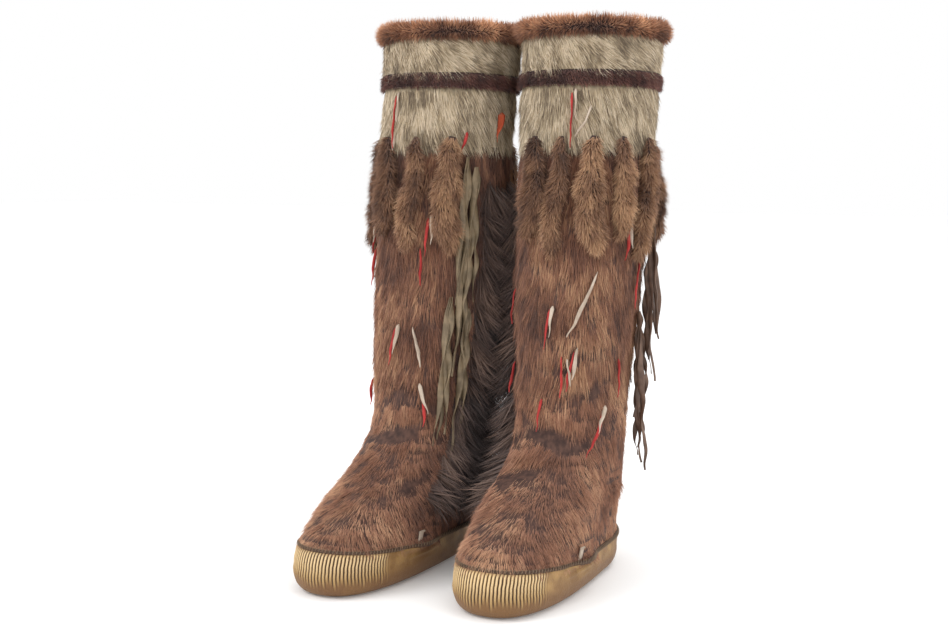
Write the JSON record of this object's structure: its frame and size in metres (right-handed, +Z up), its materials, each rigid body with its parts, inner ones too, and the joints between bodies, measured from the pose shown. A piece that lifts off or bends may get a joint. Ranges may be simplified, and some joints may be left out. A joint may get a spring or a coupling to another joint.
{
  "type": "pair of fur boots",
  "caption": "Pair of knee-high fur boots of moccasin make, with crimped hide soles, banded cuffs, hanging fur strips, hide fringe and yarn tassels.",
  "frame": {"origin": "on the ground, below the middle of the pair's bounding box", "axes": "+Z up; both toes point to -Y; the wearer's left boot is at +X"},
  "size_m": [0.2646, 0.3076, 0.4689],
  "materials": {
    "crimped_hide": "smoked golden hide, crimped round the toe",
    "felt": "pressed wool felt",
    "sinew": "dark hide strip",
    "foot_fur": "short greyish brown fur",
    "leg_fur": "sleek red-brown fur that lies down the leg",
    "cream_fur": "cream fur with grey roots",
    "sheared_fur": "dark sheared fur",
    "rim_fur": "fluffy tan-tipped brown fur",
    "strip_fur": "fluffy brown fur on a hide strip",
    "thong_hide": "twisted brown hide",
    "red_yarn": "red wool yarn with a white hide strip",
    "white_hide": "white hide"
  },
  "bodies": {
    "left_foot": {"left_sole": "crimped_hide", "left_insole": "felt", "left_welt": "sinew", "left_vamp": "foot_fur", "left_heel_quarter": "foot_fur", "left_ankle_skin": "leg_fur", "left_inner_tab": "white_hide", "left_outer_tab": "white_hide"},
    "left_leg": {"left_leg_front": "leg_fur", "left_leg_back": "leg_fur", "left_lower_cuff": "cream_fur", "left_cuff_stripe": "sheared_fur", "left_upper_cuff": "cream_fur", "left_rim": "rim_fur", "left_tassel_1": "red_yarn", "left_tassel_2": "red_yarn", "left_tassel_3": "red_yarn", "left_tassel_4": "red_yarn"},
    "left_fur_strip_1": {"left_fur_strip_1": "strip_fur"},
    "left_fur_strip_2": {"left_fur_strip_2": "strip_fur"},
    "left_fur_strip_3": {"left_fur_strip_3": "strip_fur"},
    "left_fur_strip_4": {"left_fur_strip_4": "strip_fur"},
    "left_fur_strip_5": {"left_fur_strip_5": "strip_fur"},
    "left_fur_strip_6": {"left_fur_strip_6": "strip_fur"},
    "left_fur_strip_7": {"left_fur_strip_7": "strip_fur"},
    "left_fringe_1": {"left_fringe_1": "thong_hide"},
    "left_fringe_2": {"left_fringe_2": "thong_hide"},
    "left_fringe_3": {"left_fringe_3": "thong_hide"},
    "left_fringe_4": {"left_fringe_4": "thong_hide"},
    "left_fringe_5": {"left_fringe_5": "thong_hide"},
    "right_foot": {"right_sole": "crimped_hide", "right_insole": "felt", "right_welt": "sinew", "right_vamp": "foot_fur", "right_heel_quarter": "foot_fur", "right_ankle_skin": "leg_fur", "right_inner_tab": "white_hide", "right_outer_tab": "white_hide"},
    "right_leg": {"right_leg_front": "leg_fur", "right_leg_back": "leg_fur", "right_lower_cuff": "cream_fur", "right_cuff_stripe": "sheared_fur", "right_upper_cuff": "cream_fur", "right_rim": "rim_fur", "right_tassel_1": "red_yarn", "right_tassel_2": "red_yarn", "right_tassel_3": "red_yarn", "right_tassel_4": "red_yarn"},
    "right_fur_strip_1": {"right_fur_strip_1": "strip_fur"},
    "right_fur_strip_2": {"right_fur_strip_2": "strip_fur"},
    "right_fur_strip_3": {"right_fur_strip_3": "strip_fur"},
    "right_fur_strip_4": {"right_fur_strip_4": "strip_fur"},
    "right_fur_strip_5": {"right_fur_strip_5": "strip_fur"},
    "right_fur_strip_6": {"right_fur_strip_6": "strip_fur"},
    "right_fur_strip_7": {"right_fur_strip_7": "strip_fur"},
    "right_fringe_1": {"right_fringe_1": "thong_hide"},
    "right_fringe_2": {"right_fringe_2": "thong_hide"},
    "right_fringe_3": {"right_fringe_3": "thong_hide"},
    "right_fringe_4": {"right_fringe_4": "thong_hide"},
    "right_fringe_5": {"right_fringe_5": "thong_hide"}
  },
  "joints": [
    {"name": "left_ankle", "type": "hinge", "parent": "left_foot", "child": "left_leg", "pos_m": [0.06519, 0.04212, 0.104], "axis": [1, 0, 0], "range_deg": [-10, 25], "deforming": ["left_ankle_skin"]},
    {"name": "left_fur_strip_1_swing", "type": "hinge", "parent": "left_leg", "child": "left_fur_strip_1", "pos_m": [0.04346, 0.01466, 0.369], "axis": [-0.9333, 0.3591, 0], "range_deg": [0, 45]},
    {"name": "left_fur_strip_2_swing", "type": "hinge", "parent": "left_leg", "child": "left_fur_strip_2", "pos_m": [0.06834, 0.01108, 0.369], "axis": [-0.9983, -0.058, 0], "range_deg": [0, 45]},
    {"name": "left_fur_strip_3_swing", "type": "hinge", "parent": "left_leg", "child": "left_fur_strip_3", "pos_m": [0.09364, 0.01857, 0.369], "axis": [-0.8619, -0.507, 0], "range_deg": [0, 45]},
    {"name": "left_fur_strip_4_swing", "type": "hinge", "parent": "left_leg", "child": "left_fur_strip_4", "pos_m": [0.11152, 0.0357, 0.369], "axis": [-0.5479, -0.8366, 0], "range_deg": [0, 45]},
    {"name": "left_fur_strip_5_swing", "type": "hinge", "parent": "left_leg", "child": "left_fur_strip_5", "pos_m": [0.12126, 0.06441, 0.369], "axis": [-0.0924, -0.9957, 0], "range_deg": [0, 45]},
    {"name": "left_fur_strip_6_swing", "type": "hinge", "parent": "left_leg", "child": "left_fur_strip_6", "pos_m": [0.10059, 0.12395, 0.369], "axis": [0.7424, -0.6699, 0], "range_deg": [0, 45]},
    {"name": "left_fur_strip_7_swing", "type": "hinge", "parent": "left_leg", "child": "left_fur_strip_7", "pos_m": [0.03337, 0.12848, 0.369], "axis": [0.8268, 0.5625, 0], "range_deg": [0, 45]},
    {"name": "left_fringe_1_swing", "type": "hinge", "parent": "left_leg", "child": "left_fringe_1", "pos_m": [0.11881, 0.07826, 0.31658], "axis": [0.1434, -0.9897, 0], "range_deg": [0, 40]},
    {"name": "left_fringe_2_swing", "type": "hinge", "parent": "left_leg", "child": "left_fringe_2", "pos_m": [0.11617, 0.08556, 0.29548], "axis": [0.2704, -0.9628, 0], "range_deg": [0, 40]},
    {"name": "left_fringe_3_swing", "type": "hinge", "parent": "left_leg", "child": "left_fringe_3", "pos_m": [0.11667, 0.07659, 0.26172], "axis": [0.207, -0.9783, 0], "range_deg": [0, 40]},
    {"name": "left_fringe_4_swing", "type": "hinge", "parent": "left_leg", "child": "left_fringe_4", "pos_m": [0.11601, 0.06177, 0.22163], "axis": [0.0815, -0.9967, 0], "range_deg": [0, 40]},
    {"name": "left_fringe_5_swing", "type": "hinge", "parent": "left_leg", "child": "left_fringe_5", "pos_m": [0.11009, 0.07367, 0.18365], "axis": [0.3504, -0.9366, 0], "range_deg": [0, 40]},
    {"name": "right_boot_lift", "type": "slide", "parent": "left_foot", "child": "right_foot", "axis": [0, 0, 1], "range_m": [0, 0.06]},
    {"name": "right_ankle", "type": "hinge", "parent": "right_foot", "child": "right_leg", "pos_m": [-0.06681, 0.02612, 0.104], "axis": [1, 0, 0], "range_deg": [-10, 25], "deforming": ["right_ankle_skin"]},
    {"name": "right_fur_strip_1_swing", "type": "hinge", "parent": "right_leg", "child": "right_fur_strip_1", "pos_m": [-0.12176, 0.04082, 0.369], "axis": [-0.2028, 0.9792, 0], "range_deg": [0, 45]},
    {"name": "right_fur_strip_2_swing", "type": "hinge", "parent": "right_leg", "child": "right_fur_strip_2", "pos_m": [-0.09176, 0.00068, 0.369], "axis": [-0.8974, 0.4413, 0], "range_deg": [0, 45]},
    {"name": "right_fur_strip_3_swing", "type": "hinge", "parent": "right_leg", "child": "right_fur_strip_3", "pos_m": [-0.06097, -0.00487, 0.369], "axis": [-0.9972, -0.0747, 0], "range_deg": [0, 45]},
    {"name": "right_fur_strip_4_swing", "type": "hinge", "parent": "right_leg", "child": "right_fur_strip_4", "pos_m": [-0.03288, 0.00529, 0.369], "axis": [-0.8089, -0.588, 0], "range_deg": [0, 45]},
    {"name": "right_fur_strip_5_swing", "type": "hinge", "parent": "right_leg", "child": "right_fur_strip_5", "pos_m": [-0.035, 0.11248, 0.369], "axis": [0.8268, -0.5625, 0], "range_deg": [0, 45]},
    {"name": "right_fur_strip_6_swing", "type": "hinge", "parent": "right_leg", "child": "right_fur_strip_6", "pos_m": [-0.08014, 0.1199, 0.369], "axis": [0.968, 0.2511, 0], "range_deg": [0, 45]},
    {"name": "right_fur_strip_7_swing", "type": "hinge", "parent": "right_leg", "child": "right_fur_strip_7", "pos_m": [-0.11497, 0.09136, 0.369], "axis": [0.4649, 0.8854, 0], "range_deg": [0, 45]},
    {"name": "right_fringe_1_swing", "type": "hinge", "parent": "right_leg", "child": "right_fringe_1", "pos_m": [-0.02354, 0.0129, 0.35245], "axis": [-0.6369, -0.771, 0], "range_deg": [0, 25]},
    {"name": "right_fringe_2_swing", "type": "hinge", "parent": "right_leg", "child": "right_fringe_2", "pos_m": [-0.01873, 0.01933, 0.34401], "axis": [-0.5079, -0.8614, 0], "range_deg": [0, 25]},
    {"name": "right_fringe_3_swing", "type": "hinge", "parent": "right_leg", "child": "right_fringe_3", "pos_m": [-0.02271, 0.01012, 0.29126], "axis": [-0.5664, -0.8241, 0], "range_deg": [0, 25]},
    {"name": "right_fringe_4_swing", "type": "hinge", "parent": "right_leg", "child": "right_fringe_4", "pos_m": [-0.02991, -0.00338, 0.23218], "axis": [-0.673, -0.7396, 0], "range_deg": [0, 25]},
    {"name": "right_fringe_5_swing", "type": "hinge", "parent": "right_leg", "child": "right_fringe_5", "pos_m": [-0.02115, 0.00967, 0.22163], "axis": [-0.4141, -0.9102, 0], "range_deg": [0, 25]}
  ]
}
